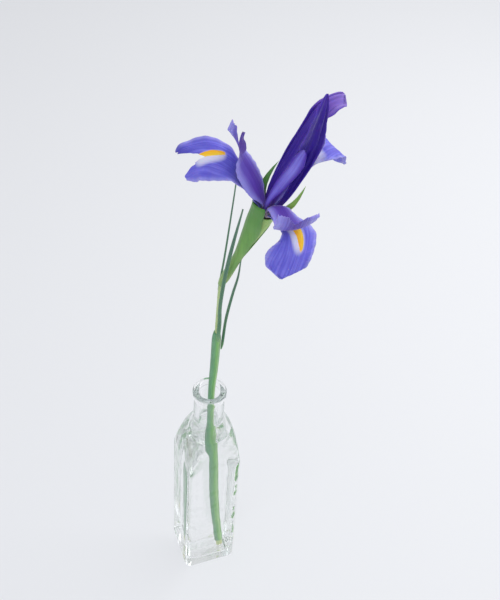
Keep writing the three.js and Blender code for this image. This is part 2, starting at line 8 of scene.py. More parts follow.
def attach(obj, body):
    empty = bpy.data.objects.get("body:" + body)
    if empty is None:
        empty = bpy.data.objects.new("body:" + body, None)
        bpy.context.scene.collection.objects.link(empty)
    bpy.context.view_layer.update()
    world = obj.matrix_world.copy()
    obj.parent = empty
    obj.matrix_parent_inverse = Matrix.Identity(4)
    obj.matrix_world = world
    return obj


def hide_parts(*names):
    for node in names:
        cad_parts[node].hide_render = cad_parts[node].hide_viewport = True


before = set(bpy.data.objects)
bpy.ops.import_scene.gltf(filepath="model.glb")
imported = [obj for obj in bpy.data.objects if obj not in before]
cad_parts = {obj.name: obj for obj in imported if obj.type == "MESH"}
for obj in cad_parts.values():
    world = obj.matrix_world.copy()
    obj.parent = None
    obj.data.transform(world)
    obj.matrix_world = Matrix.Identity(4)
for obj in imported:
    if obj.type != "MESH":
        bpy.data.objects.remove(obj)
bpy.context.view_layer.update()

MM = 0.001  # the sizes below are in millimetres, Blender's are in metres
rad = math.radians

# ---- driving dimensions, as the frame has them ----
BODY_HALF = 25
BODY_CORNER = 7
BOTTLE_HEIGHT = 242
SHOULDER_START = 156
NECK_START = 202
NECK_RADIUS = 13.3
LIP_RADIUS = 14.25
LIP_HEIGHT = 6
BORE_RADIUS = 8.7
WALL = 4
CAVITY_CORNER = 8
FLOOR = 9
WATER_LEVEL = 190
GAP = 0.3
OVARY_FOOT = 64
STEM_TOP_RADIUS = 1.5
TUBE_TOP_RADIUS = 4.9
SHEATH_BOTTOM = 0.02
SHEATH_TOP = 0.715
PETAL_THICKNESS = 0.5
BRACT_THICKNESS = 0.5
LEAF_THICKNESS = 0.8

# ---- how a blade's surface is finished ----
BLUNT = 0.08  # share of its width that a round tip keeps
TIP_HALF = 0.2  # half width added to a round tip, so that it doesn't close to a point
NEARLY_FLAT = 1e-4  # radians of cup that stand for none
RUFFLE_LAG = 0.37  # how far the waves of one edge lag behind the other's
TEETH_PER_HALF = 7
CRINKLE_RATE = 0.12  # dents per millimetre
PLEAT_RATE = 7.5  # turn of the lengthwise pleats across half a blade, in radians
PLEAT_DRIFT = 3  # their sideways drift from foot to tip, in radians
SMOOTH_BELOW = 6  # half width under which dents and pleats die out
FRILLS = 11  # short waves along an edge
FRILL_DRIFT = 0.06  # how fast their spacing changes, per millimetre

# ---- how uneven the blown glass is ----
FACETS = 112  # columns round the bottle, 28 to a side
SLOW_SWELL = 0.05  # swells per millimetre
QUICK_SWELL = 0.16
OUTER_SWELL = 0.15  # height of the swells on the moulded outside
INNER_SWELL = 0.85  # and on the inside, which nothing shapes but the breath
INNER_STEP = 2.5  # distance of the inside's rows

# ---- camera: where the eye is, and how it is turned ----
EYE = Vector((-167.0, -464.9, 856.0))
HEADING = 67.1
LOOK_DOWN = 45.6
ROLL = 4.85
LENS = 56.6


# ---- curves and frames ----
def leaning(at, lean, towards):
    """The frame of a part whose axis leans by an angle towards an azimuth."""
    axis = Vector((-math.sin(rad(towards)), math.cos(rad(towards)), 0))
    return Matrix.Translation(at) @ Matrix.Rotation(rad(lean), 4, axis)


FLOWER = leaning((13, -54.3, 478), 15, -61)
SPATHE = leaning((-2.1, -20.8, 386), 21.3, -67.8)


def on_axis(base, height):
    """A point on a part's axis."""
    return base @ Vector((0, 0, height))


def follow(keys, place):
    """A smooth value at a place, through (place, value) keys."""
    if isinstance(keys, (int, float)):
        return keys
    last = len(keys) - 1
    if place <= keys[0][0]:
        return keys[0][1]
    if place >= keys[last][0]:
        return keys[last][1]
    k = next(i for i in range(last) if place <= keys[i + 1][0])

    def slope(i):
        a, b = keys[max(i - 1, 0)], keys[min(i + 1, last)]
        return (b[1] - a[1]) / (b[0] - a[0])

    step = keys[k + 1][0] - keys[k][0]
    t = (place - keys[k][0]) / step
    start = (2 * t**3 - 3 * t**2 + 1) * keys[k][1] + (t**3 - 2 * t**2 + t) * slope(k) * step
    return start + (3 * t**2 - 2 * t**3) * keys[k + 1][1] + (t**3 - t**2) * slope(k + 1) * step


def smooth_line(points, steps):
    """Evenly spaced points on a centripetal Catmull-Rom curve through the given ones."""
    knots = [Vector(p) for p in points]
    knots = [2 * knots[0] - knots[1], *knots, 2 * knots[-1] - knots[-2]]
    per_span = 40
    dense = []
    for p0, p1, p2, p3 in zip(knots, knots[1:], knots[2:], knots[3:]):
        d0, d1, d2 = (math.sqrt((b - a).length) for a, b in ((p0, p1), (p1, p2), (p2, p3)))
        leave = ((p1 - p0) / d0 - (p2 - p0) / (d0 + d1) + (p2 - p1) / d1) * d1
        arrive = ((p2 - p1) / d1 - (p3 - p1) / (d1 + d2) + (p3 - p2) / d2) * d1
        for k in range(per_span):
            t = k / per_span
            dense.append(
                (2 * t**3 - 3 * t**2 + 1) * p1 + (t**3 - 2 * t**2 + t) * leave
                + (3 * t**2 - 2 * t**3) * p2 + (t**3 - t**2) * arrive
            )
    dense.append(knots[-2])
    reach = [0.0]
    for a, b in zip(dense, dense[1:]):
        reach.append(reach[-1] + (b - a).length)
    line = []
    k = 0
    for step in range(steps + 1):
        want = reach[-1] * step / steps
        while k < len(dense) - 2 and reach[k + 1] < want:
            k += 1
        part = (want - reach[k]) / (reach[k + 1] - reach[k])
        line.append(dense[k].lerp(dense[k + 1], min(part, 1)))
    return line


def rib_from_line(line, facing):
    """Frames along a line, (point, side, up), with up turned towards a direction."""
    rib = []
    for k, point in enumerate(line):
        along = (line[min(k + 1, len(line) - 1)] - line[max(k - 1, 0)]).normalized()
        side = Vector(facing).cross(along).normalized()
        rib.append((point, side, along.cross(side)))
    return rib


def rib_from_angles(spec, steps):
    """The midrib of a petal, turning by pitch, yaw and roll as it runs out from its seat."""
    def heading(place):
        pitch = rad(follow(spec["pitch"], place))
        yaw = rad(follow(spec.get("yaw", 0), place))
        level = Vector((math.cos(yaw), math.sin(yaw), 0))
        return (level * math.cos(pitch) + Vector((0, 0, math.sin(pitch))),
                Vector((-math.sin(yaw), math.cos(yaw), 0)))

    at = Vector((spec["seat"][0], 0, spec["seat"][1]))
    rib = []
    for k in range(steps + 1):
        if k > 0:
            at = at + heading((k - 0.5) / steps)[0] * spec["length"] / steps
        along, side = heading(k / steps)
        side = Quaternion(along, rad(follow(spec.get("roll", 0), k / steps))) @ side
        rib.append((at, side, along.cross(side)))
    return rib


def rib_at(rib, place):
    """The frame at any place of a rib, between the ones it holds."""
    x = min(max(place, 0), 1) * (len(rib) - 1)
    k = min(int(x), len(rib) - 2)
    return [a.lerp(b, x - k) for a, b in zip(rib[k], rib[k + 1])]


# ---- blades ----
def blade_point(spec, rib, across, along):
    """A point of a blade, and its place on the flattened blade in millimetres.

    A spec is in millimetres and degrees. Its width is half the flat width and its cup half the
    section's turn; crop, notch, slant and teeth shape the end; the rest is relief.
    """
    place = along * follow(spec.get("crop", 1), abs(across))
    notch = spec.get("notch", 0) * max(1 - abs(across) / spec.get("notch_width", 1), 0)
    slant = max(-spec.get("slant", 0) * across, 0)
    tooth = max(noise.noise(Vector((across * TEETH_PER_HALF, spec["length"], 0))), 0)
    reach = place * (1 - notch - slant - spec.get("teeth", 0) * tooth * along**6)
    at, side, up = rib_at(rib, reach)

    half = follow(spec["width"], place)
    round_from = spec.get("round_from", 1)
    if place > round_from:
        bend = math.sqrt(max(1 - ((place - round_from) / (1 - round_from)) ** 2, 0))
        half = half * (BLUNT + (1 - BLUNT) * bend) + TIP_HALF

    # The blade's section is an arc, lopsided where its two halves curl by different amounts.
    cup = rad(follow(spec.get("cup", 0), place)) or NEARLY_FLAT
    sign = math.copysign(1, across)
    arc = abs(across) * cup * (1 + follow(spec.get("lopsided", 0), place) * sign)
    flat = half * math.sin(arc) / cup
    rise = half * (1 - math.cos(arc)) / cup
    fold = rad(follow(spec.get("fold", 0), place))
    out = flat * math.cos(fold) - rise * math.sin(fold)
    lift = flat * math.sin(fold) + rise * math.cos(fold)

    # Long waves, dents, pleats and a frilled edge lie on top of it.
    lie = Vector((across * half, reach * spec["length"], 0))
    phase = spec.get("waves", 3) * place + (0 if across > 0 else RUFFLE_LAG)
    lift += follow(spec.get("ruffle", 0), place) * across**2 * math.sin(2 * math.pi * phase)
    broad = min(half / SMOOTH_BELOW, 1)
    dent = noise.noise(lie * CRINKLE_RATE + Vector((0, 0, spec["length"])))
    lift += spec.get("crinkle", 0) * dent * broad
    pleat = math.sin(PLEAT_RATE * across + PLEAT_DRIFT * place) * (1 - across**4)
    lift += spec.get("pleat", 0) * pleat * broad
    frill = math.sin(2 * math.pi * (FRILLS * place + noise.noise(lie * FRILL_DRIFT)))
    lift += spec.get("frill", 0) * abs(across) ** 6 * frill * min(place * 2, 1)
    point = at + side * out * sign + up * lift
    return (spec["flatten"](point) if "flatten" in spec else point), lie


def loft(name, point_at, grid, wrapped=False):
    """A sheet from a grid running across (-1 to 1) and along (0 to 1), or a tube if wrapped.

    The UV map "lie" holds the place on the flattened sheet in millimetres, "share" the place on
    the grid from 0 to 1.
    """
    weld = 1e-6
    bm = bmesh.new()
    share = bm.loops.layers.uv.new("share")
    lie = bm.loops.layers.uv.new("lie")
    bmesh.ops.create_grid(bm, x_segments=grid[0], y_segments=grid[1], size=1)
    points = {vert: point_at(vert.co.x, (vert.co.y + 1) / 2) for vert in bm.verts}
    for face in bm.faces:
        face.smooth = True
        for loop in face.loops:
            loop[share].uv = ((loop.vert.co.x + 1) / 2, (loop.vert.co.y + 1) / 2)
            loop[lie].uv = points[loop.vert][1].xy
    for vert, (point, _) in points.items():
        vert.co = point * MM
    if wrapped:
        bmesh.ops.remove_doubles(bm, verts=bm.verts, dist=weld)
        rims = [edge for edge in bm.edges if edge.is_boundary]
        bmesh.ops.holes_fill(bm, edges=rims, sides=0)
        bmesh.ops.recalc_face_normals(bm, faces=bm.faces)
    mesh = bpy.data.meshes.new(name)
    bm.to_mesh(mesh)
    bm.free()
    piece = bpy.data.objects.new(name, mesh)
    bpy.context.scene.collection.objects.link(piece)
    return piece


def thicken(piece, thickness):
    """Gives a sheet its thickness, half to each side."""
    solid = piece.modifiers.new("thickness", "SOLIDIFY")
    solid.thickness = thickness * MM
    solid.offset = 0
    solid.use_even_offset = False


def dress(piece, node, material):
    """Puts a finished piece in place of its CAD node."""
    piece.data.materials.append(material)
    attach(piece, "root")
    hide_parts(node)


def add_blade(node, spec, rib, base, thickness, material, grid):
    """A petal, bract or leaf from its spec and midrib."""
    def point_at(across, along):
        point, lie = blade_point(spec, rib, across, along)
        return base @ point, lie

    piece = loft(node + "_fine", point_at, grid)
    thicken(piece, thickness)
    dress(piece, node, material)


def tube(node, rib, radius, material, grid, base=None):
    """A closed round body along a rib; radius may depend on the place and the turn."""
    length = sum((b[0] - a[0]).length for a, b in zip(rib, rib[1:]))

    def point_at(across, along):
        at, side, up = rib_at(rib, along)
        turn = math.pi * across
        reach = radius(along, turn)
        point = at + (side * math.sin(turn) - up * math.cos(turn)) * reach
        return (base @ point if base else point), Vector((turn * reach, along * length, 0))

    dress(loft(node + "_fine", point_at, grid, wrapped=True), node, material)


# ---- materials ----
def colour(code):
    """Linear colour from an sRGB hex value."""
    parts = [int(code[i:i + 2], 16) / 255 for i in (1, 3, 5)]
    return [*(c / 12.92 if c <= 0.04045 else ((c + 0.055) / 1.055) ** 2.4 for c in parts), 1]


def add(tree, kind, inputs, output=0, stops=(), **settings):
    """Adds a shader node and gives one of its outputs.

    An input is a value, an sRGB hex colour or another node's output. Stops are a colour ramp's
    (place, hex) pairs.
    """
    made = tree.nodes.new("ShaderNode" + kind)
    for key, value in settings.items():
        setattr(made, key, value)
    for key, value in inputs.items():
        if isinstance(value, bpy.types.NodeSocket):
            tree.links.new(value, made.inputs[key])
        else:
            made.inputs[key].default_value = colour(value) if isinstance(value, str) else value
    if stops:
        ramp = made.color_ramp
        for _ in stops[2:]:
            ramp.elements.new(0.5)
        for element, (place, code) in zip(ramp.elements, stops):
            element.position = place
            element.color = colour(code)
    return made.outputs[output]


SOFT = {"interpolation_type": "SMOOTHSTEP"}
TIMES = {"operation": "MULTIPLY"}
TIMES_PLUS = {"operation": "MULTIPLY_ADD"}


def new_material(name, **shader_values):
    """A Principled material; returns it with its tree and shader."""
    material = bpy.data.materials.new(name)
    material.use_nodes = True
    tree = material.node_tree
    shader = tree.nodes["Principled BSDF"]
    for key, value in shader_values.items():
        shader.inputs[key.replace("_", " ")].default_value = value
    return material, tree, shader


def patches(tree, lie, across, along, detail=2.0):
    """Soft patches of a size in millimetres on the flattened piece."""
    place = add(tree, "Mapping", {"Vector": lie, "Scale": (1 / across, 1 / along, 1)})
    return add(tree, "TexNoise", {"Vector": place, "Scale": 1.0, "Detail": detail})


def veins(tree, lie, spacing):
    """Fine lines running along a piece, spaced in millimetres and wandering a little.

    Real veins are about half a millimetre apart. They are drawn twice as coarse, so that they show.
    """
    lines = patches(tree, lie, spacing, 33.3, detail=3.0)
    wander = patches(tree, lie, 4, 16.7)
    both = add(tree, "Math", {0: wander, 1: 0.3, 2: lines}, **TIMES_PLUS)
    return add(tree, "MapRange", {0: both, 1: 0.45, 2: 0.85}, **SOFT)


def grown_skin(name, finish, vein_spacing, relief, paint):
    """The skin of a petal, leaf or stem: coats of colour, over veins that stand up in relief.

    `paint` gets the outputs that tell where on the piece a point is. It gives the first colour,
    and the coats over it as (where, how strong at most, colour).
    """
    material, tree, shader = new_material(name, **finish)
    on = {"lie": add(tree, "UVMap", {}, uv_map="lie")}
    on["x"] = add(tree, "SeparateXYZ", {0: on["lie"]})
    on["y"] = on["x"].node.outputs[1]
    on["across"] = add(tree, "SeparateXYZ", {0: add(tree, "UVMap", {}, uv_map="share")})
    on["along"] = on["across"].node.outputs[1]
    off_middle = add(tree, "Math", {0: on["across"], 1: 2, 2: -1}, **TIMES_PLUS)
    on["edge"] = add(tree, "Math", {0: off_middle}, operation="ABSOLUTE")
    on["vein"] = veins(tree, on["lie"], vein_spacing)
    body, coats = paint(tree, on)
    for where, most, over in coats:
        strength = add(tree, "Math", {0: where, 1: most}, **TIMES)
        body = add(tree, "Mix", {0: strength, 6: body, 7: over}, 2, data_type="RGBA")
    tree.links.new(body, shader.inputs["Base Color"])
    bump = add(tree, "Bump", {"Height": on["vein"], "Distance": relief * MM, "Strength": 0.6})
    tree.links.new(bump, shader.inputs["Normal"])
    return material


# A petal is wet tissue half a millimetre thick under a skin of tiny domed cells. They give it a
# satin shine and a velvety rim of light, and some light comes through it.
PETAL = {"Roughness": 0.5, "Sheen_Weight": 0.2, "Sheen_Roughness": 0.4, "Subsurface_Weight": 0.15,
         "Subsurface_Scale": 0.001, "IOR": 1.4, "Specular_IOR_Level": 0.4}
PETAL_RELIEF = 0.25  # how far the veins stand up, a little more than real ones so that they show
LEAF_RELIEF = 0.2


def fall_petal(name, haft_end, signal, halo, rolled_tip_shade=0.0):
    """Fall: blue-violet with darker veins and a paler rim, and a yellow stripe on a white ground.

    The stripe is given by its two ends and half width, the white by its half width and sideways
    shift, all in millimetres on the flattened petal.
    """
    (x0, y0), (x1, y1), half_width = signal

    def paint(tree, on):
        mottle = patches(tree, on["lie"], 8.33, 8.33)
        rim = add(tree, "MapRange", {0: on["edge"], 1: 0.74, 2: 1}, **SOFT)
        # Painted shade: one side of the end is darkened where the tip rolls under.
        end = add(tree, "MapRange", {0: on["along"], 1: 0.88, 2: 0.99}, **SOFT)
        lobe = add(tree, "MapRange", {0: on["across"], 1: 0.42, 2: 0.12}, **SOFT)
        tip_shade = add(tree, "Math", {0: end, 1: lobe}, **TIMES)
        haft = add(tree, "MapRange", {0: on["y"], 1: haft_end + 6, 2: haft_end - 6}, **SOFT)

        # Where the point is on the stripe: 0 to 1 from end to end, and millimetres beside it.
        down = add(tree, "Math", {0: on["y"], 1: 1 / (y1 - y0), 2: -y0 / (y1 - y0)}, **TIMES_PLUS)
        middle = add(tree, "Math", {0: down, 1: x1 - x0, 2: x0}, **TIMES_PLUS)
        aside = add(tree, "Math", {0: on["x"], 1: middle}, operation="SUBTRACT")
        from_half = add(tree, "Math", {0: down, 1: 2, 2: -1}, **TIMES_PLUS)
        ends = add(tree, "Math", {0: from_half, 1: 4}, operation="POWER")

        def oval(width, shift, squareness):
            off = add(tree, "Math", {0: aside, 1: 1 / width, 2: -shift / width}, **TIMES_PLUS)
            off = add(tree, "Math", {0: off, 1: off}, **TIMES)
            return add(tree, "Math", {0: ends, 1: squareness, 2: off}, **TIMES_PLUS)

        white = add(tree, "MapRange", {0: oval(*halo, 0.7), 1: 1.5, 2: 0}, **SOFT)
        ragged = oval(half_width, 0, 1)
        ragged = add(tree, "Math", {0: on["vein"], 1: 0.35, 2: ragged}, **TIMES_PLUS)
        yellow = add(tree, "MapRange", {0: ragged, 1: 1.1, 2: 0.85}, **SOFT)
        # Painted highlight: one side of the yellow stripe is lighter, as if lit.
        painted_lit_side = add(tree, "MapRange", {0: aside, 1: -half_width, 2: half_width}, **SOFT)
        gold = add(tree, "Mix", {0: painted_lit_side, 6: "#f7b51d", 7: "#ffd23c"}, 2, data_type="RGBA")
        return "#6660de", [
            (mottle, 1, "#8d8aee"),
            (on["vein"], 0.6, "#4640c0"),
            (rim, 0.5, "#b6b4f2"),
            (tip_shade, rolled_tip_shade, "#3c36ac"),
            (haft, 0.6, "#8f8ada"),
            (white, 0.9, "#e2e3f6"),
            (yellow, 1, gold),
        ]

    return grown_skin(name, PETAL, 1.1, PETAL_RELIEF, paint)


def style_petal(name, crest_shade=0.0):
    """Style arm: violet along its ridge, bluer at its crests; painted shade darkens a folded crest.
    """
    def paint(tree, on):
        violet = add(tree, "ValToRGB", {0: on["along"]}, stops=[
            (0.0, "#8d6fae"), (0.12, "#5f3aa8"), (0.35, "#6242b4"), (0.62, "#7462ca"),
            (0.85, "#7d74da"), (1.0, "#8d86e0"),
        ])
        inner = add(tree, "MapRange", {0: on["edge"], 1: 0.55, 2: 0}, **SOFT)
        above_foot = add(tree, "MapRange", {0: on["along"], 1: 0.05, 2: 0.2}, **SOFT)
        ridge = add(tree, "Math", {0: inner, 1: above_foot}, **TIMES)
        rim = add(tree, "MapRange", {0: on["edge"], 1: 0.4, 2: 0.95}, **SOFT)
        # Painted shade on one lobe of the crest, where it folds over.
        end = add(tree, "MapRange", {0: on["along"], 1: 0.7, 2: 0.82}, **SOFT)
        lobe = add(tree, "MapRange", {0: on["across"], 1: 0.5, 2: 0.65}, **SOFT)
        shaded_lobe = add(tree, "Math", {0: end, 1: lobe}, **TIMES)
        return violet, [
            (on["vein"], 0.5, "#432894"),
            (ridge, 0.75, "#4c249a"),
            (rim, 0.8, "#a29eee"),
            (shaded_lobe, crest_shade, "#4f2c96"),
        ]

    return grown_skin(name, PETAL, 1.3, PETAL_RELIEF, paint)


def standard_petal(name, stops, dark="#22086e", rim=0.45, rim_from=0.8, rim_colour="#6448c8"):
    """Standard: the deepest violet of the flower, with long paler streaks of painted highlight.

    The stops run from foot to tip.
    """
    def paint(tree, on):
        violet = add(tree, "ValToRGB", {0: on["along"]}, stops=stops)
        # Painted highlights: long paler streaks where the dark petal catches the light.
        painted_highlights = patches(tree, on["lie"], 5, 16.7)
        painted_highlights = add(tree, "MapRange", {0: painted_highlights, 1: 0.5, 2: 0.75}, **SOFT)
        edge = add(tree, "MapRange", {0: on["edge"], 1: rim_from, 2: 1}, **SOFT)
        return violet, [
            (on["vein"], 0.45, dark),
            (painted_highlights, 0.4, "#6a52cc"),
            (edge, rim, rim_colour),
        ]

    return grown_skin(name, PETAL, 1.2, PETAL_RELIEF, paint)


def leafy(name, stops, dark, vein_spacing, roughness=0.42, run="along"):
    """Leaf, bract and stem: green tissue grown with parallel veins, under a softly shining wax.

    The stops run from foot to tip, or across, which on a stem is round it.
    """
    finish = {"Roughness": roughness, "Subsurface_Weight": 0.12, "Subsurface_Scale": 0.001,
              "IOR": 1.42, "Specular_IOR_Level": 0.45, "Sheen_Weight": 0.1}

    def paint(tree, on):
        green = add(tree, "ValToRGB", {0: on[run]}, stops=stops)
        mottle = patches(tree, on["lie"], 3.33, 20)
        mottle = add(tree, "MapRange", {0: mottle, 1: 0.4, 2: 0.7}, **SOFT)
        return green, [(mottle, 0.35, dark), (on["vein"], 0.45, dark)]

    return grown_skin(name, finish, vein_spacing, LEAF_RELIEF, paint)


def bottle_glass():
    """Soda-lime glass, blown in a mould and fire-polished: clear and sharply glossy.

    Its iron shows as a faint green where the eye looks along a wall.
    """
    material, tree, _ = new_material("soda_lime_glass", Base_Color=colour("#ffffff"),
                                     Roughness=0.0, IOR=1.5, Transmission_Weight=1.0)
    tint = add(tree, "VolumeAbsorption", {"Color": "#93bcb4", "Density": 2.6})
    tree.links.new(tint, tree.nodes["Material Output"].inputs["Volume"])
    return material


def tap_water():
    """Still tap water: no colour of its own, only its bend of the light."""
    return new_material("tap_water", Base_Color=colour("#ffffff"), Roughness=0.0, IOR=1.33,
                        Transmission_Weight=1.0)[0]


def painted_board():
    """Matt paint rolled onto a board: pale and even, so that only soft shadows show on it."""
    return new_material("pale_board", Base_Color=colour("#e6e7ea"), Roughness=0.75, IOR=1.45,
                        Specular_IOR_Level=0.2)[0]


# ---- petals ----
def bloom():
    """The flower: three falls, three style arms and three standards.

    A spec's seat is its place on the flower's axis, azimuth its direction round it, and pitch,
    yaw and roll turn its midrib as it runs out. Keys are (share of the length, value) pairs.
    """
    fall = {
        "seat": (4.3, 0.65),
        "round_from": 0.8,
        "cup": [(0, 30), (0.3, 14), (0.45, 8), (0.6, 2), (1, -8)],
        "ruffle": [(0, 0), (0.5, 0), (0.8, 1.2), (1, 1.5)],
        "waves": 4,
        "crinkle": 0.9,
        "frill": 0.5,
        "teeth": 0.06,
    }
    falls = {
        "fall_left": {
            **fall,
            "azimuth": 150,
            "length": 74,
            "pitch": [(0, 52), (0.38, 42), (0.56, 20), (0.7, -15), (0.86, -45), (1, -60)],
            "yaw": [(0, 0), (0.5, 0), (1, 8)],
            "roll": [(0, 0), (0.38, 0), (0.6, -22), (0.86, -25), (1, -20)],
            "width": [(0, 2.1), (0.15, 4), (0.3, 6), (0.45, 7.5), (0.6, 12), (0.86, 14), (1, 11)],
            "round_from": 1,
            "lopsided": 0.1,
            "slant": -0.06,
            "notch": 0.26,
            "notch_width": 0.75,
        },
        "fall_front": {
            **fall,
            "azimuth": -86,
            "length": 58,
            "pitch": [(0, 46), (0.3, 22), (0.5, -6), (0.7, -48), (1, -85)],
            "yaw": [(0, 0), (0.4, 0), (0.7, -25), (1, -45)],
            "roll": [(0, 0), (0.5, 5), (1, 10)],
            "width": [(0, 2.1), (0.2, 4), (0.4, 7), (0.5, 11), (0.65, 14), (0.85, 13), (1, 11)],
            "round_from": 0.88,
            "frill": 0.8,
            "slant": -0.15,
            "lopsided": [(0.3, 0), (0.45, 0.4), (0.65, 0.05), (0.8, -0.12), (1, -0.15)],
        },
        "fall_back": {
            **fall,
            "azimuth": 32,
            "length": 80,
            "pitch": [(0, 55), (0.45, 40), (0.6, 6), (0.8, -50), (1, -90)],
            "yaw": [(0, 0), (0.5, 0), (1, -15)],
            "width": [(0, 2.1), (0.2, 4), (0.45, 5.5), (0.6, 12), (0.82, 15), (1, 13)],
        },
    }
    fall_skins = {
        "fall_left": fall_petal("fall_left_petal", 33, ((-5.2, 43), (0.5, 60), 2.1), (4.2, 2.2),
                                rolled_tip_shade=0.8),
        "fall_front": fall_petal("fall_front_petal", 24, ((1.9, 12), (5.2, 38), 1.9), (4, -1.6)),
        "fall_back": fall_petal("fall_back_petal", 36, ((0, 27), (0, 47), 2.2), (9, 0)),
    }
    arm = {
        "seat": (1.9, 1.1),
        "cup": [(0, -20), (0.5, -34), (0.7, -15), (1, 15)],
        "notch": 0.24,
        "notch_width": 0.4,
        "ruffle": [(0, 0), (0.7, 0), (1, 1.5)],
        "waves": 5,
        "crinkle": 0.5,
        "frill": 0.3,
        "teeth": 0.12,
    }
    arms = {
        "style_arm_left": {
            **arm,
            "azimuth": 146,
            "length": 64,
            "pitch": [(0, 74), (0.2, 58), (0.5, 46), (0.7, 58), (0.85, 80), (1, 90)],
            "yaw": [(0, 0), (0.6, 0), (1, 25)],
            "roll": [(0, 0), (0.5, -12), (0.68, 0), (0.85, 35), (1, 50)],
            "width": [(0, 1.2), (0.12, 3.8), (0.28, 8.8), (0.5, 9.7), (0.65, 8.3), (0.85, 8),
                      (1, 5.5)],
            "lopsided": [(0.6, 0), (0.85, -0.2), (1, -0.6)],
        },
        "style_arm_front": {
            **arm,
            "azimuth": -84,
            "length": 54,
            "pitch": [(0, 82), (0.12, 74), (0.25, 44), (0.45, 2), (0.6, 6), (0.76, 62), (1, 100)],
            "yaw": [(0, 0), (0.5, -6), (0.75, -30), (1, -30)],
            "roll": [(0, 0), (0.4, 0), (0.6, 12), (0.78, 20), (1, 20)],
            "width": [(0, 1.2), (0.12, 3.6), (0.25, 6.2), (0.45, 8), (0.62, 10), (0.78, 14),
                      (1, 14)],
            "notch": 0.1,
            "cup": [(0, -20), (0.45, -30), (0.58, 0), (0.7, 28), (1, 30)],
            "lopsided": [(0, -0.15), (0.25, -0.15), (0.5, 0), (0.75, 0.18), (1, 0.18)],
            "teeth": 0.05,
        },
        "style_arm_back": {
            **arm,
            "azimuth": 40,
            "length": 59,
            "pitch": [(0, 70), (0.2, 56), (0.5, 47), (0.68, 52), (0.8, 62), (1, 76)],
            "width": [(0, 1.2), (0.2, 3.7), (0.5, 6.5), (0.68, 8), (0.85, 9), (1, 8)],
            "cup": [(0, -20), (0.5, -34), (0.7, -10), (1, 40)],
        },
    }
    standard = {
        "seat": (3.9, 0.65),
        "ruffle": [(0, 0), (0.4, 0.3), (1, 0.8)],
        "crinkle": 0.6,
        "pleat": 0.55,
        "frill": 0.25,
    }
    standards = {
        "standard_left": {
            **standard,
            "azimuth": 100,
            "length": 88,
            "pitch": [(0, 66), (0.28, 60), (0.65, 58), (0.78, 50), (1, 5)],
            "yaw": [(0, -10), (0.18, -50), (0.55, -64), (0.74, -67), (1, -112)],
            "width": [(0, 1.1), (0.23, 2.6), (0.46, 4.5), (0.7, 5), (0.84, 8.5), (1, 8)],
            "round_from": 0.96,
            "cup": [(0, 20), (0.5, 45), (1, 15)],
            "lopsided": [(0.7, -0.5), (0.85, -0.75)],
        },
        "standard_right": {
            **standard,
            "azimuth": -18,
            "length": 84,
            "pitch": [(0, 62), (0.3, 67), (0.5, 72), (0.7, 68), (1, 66)],
            "yaw": [(0, 15), (0.25, 56), (0.45, 62), (0.65, 86), (1, 108)],
            "width": [(0, 1.1), (0.25, 2.8), (0.45, 4.8), (0.65, 7.5), (0.8, 7), (0.9, 4.5),
                      (1, 0.8)],
            "cup": [(0, 50), (0.3, 40), (0.5, 26), (1, 15)],
            "lopsided": [(0.4, 0.15), (0.65, 0.35), (1, 0.35)],
            "roll": [(0, 0), (0.4, 0), (0.7, 20), (1, 20)],
        },
        "standard_front": {
            **standard,
            "azimuth": -157,
            "length": 52,
            "pitch": [(0, 84), (0.2, 95), (0.4, 121), (0.6, 121), (1, 100)],
            "width": [(0, 1.1), (0.25, 2), (0.5, 4), (0.8, 4.6), (1, 3.5)],
            "round_from": 0.8,
            "fold": 20,
            "pleat": 0,
        },
    }
    standard_skins = {
        # Towards its tip the left standard is paler: painted light shining through the thin petal.
        "standard_left": standard_petal("standard_left_petal", [
            (0.0, "#6a4aa6"), (0.15, "#4322a0"), (0.6, "#3e1ca0"), (0.76, "#5230b4"),
            (0.84, "#7f5cd0"), (1.0, "#9a7ede"),
        ]),
        "standard_right": standard_petal("standard_right_petal", [
            (0.0, "#6a4aa6"), (0.15, "#3a1c96"), (0.5, "#300e92"), (0.8, "#300e92"),
            (1.0, "#4a2aac"),
        ]),
        # Painted light: the front standard is a lit copy of the deep violet ones, with a pale
        # painted highlight down its middle and deeper violet towards its edges.
        "standard_front": standard_petal("standard_front_petal", [
            (0.0, "#6a44b4"), (0.3, "#7c70de"), (0.7, "#918cee"), (1.0, "#7a6ed8"),
        ], dark="#6348b4", rim=0.95, rim_from=0.15, rim_colour="#4c28a8"),
    }
    for node, spec in falls.items():
        add_petal(node, spec, fall_skins[node], (48, 84))
    for node, spec in arms.items():
        # Only the left arm's folded crest gets painted shade.
        crest_shade = 0.85 if node == "style_arm_left" else 0.0
        add_petal(node, spec, style_petal(node + "_petal", crest_shade), (40, 72))
    for node, spec in standards.items():
        add_petal(node, spec, standard_skins[node], (32, 84))


def add_petal(node, spec, material, grid):
    """A petal on the flower's axis; its midrib has four steps to a row of the grid."""
    base = FLOWER @ Matrix.Rotation(rad(spec["azimuth"]), 4, "Z")
    rib = rib_from_angles(spec, 4 * grid[1])
    add_blade(node, spec, rib, base, PETAL_THICKNESS, material, grid)


def stamens():
    """A thread and its anther under each style arm."""
    pale = leafy("stamen_thread", [
        (0.0, "#c9bfe6"), (0.5, "#d8d2ee"), (0.58, "#e9e4c9"), (1.0, "#cfc6a0"),
    ], "#a79bc8", 0.4, roughness=0.6)
    swell = [(0, 0.45), (0.5, 0.4), (0.58, 0.65), (0.7, 0.85), (0.9, 0.75), (1, 0.4)]
    specs = {
        "stamen_left": {"azimuth": 148, "length": 31, "pitch": [(0, 62), (0.4, 50), (1, 45)]},
        "stamen_front": {"azimuth": -86, "length": 27, "pitch": [(0, 52), (0.4, 34), (1, 26)]},
        "stamen_back": {"azimuth": 35, "length": 31, "pitch": [(0, 63), (0.4, 51), (1, 44)]},
    }
    for node, spec in specs.items():
        rib = rib_from_angles({**spec, "seat": (3.05, 0.95)}, 60)
        base = FLOWER @ Matrix.Rotation(rad(spec["azimuth"]), 4, "Z")
        tube(node, rib, lambda place, turn: follow(swell, place), pale, (16, 60), base)


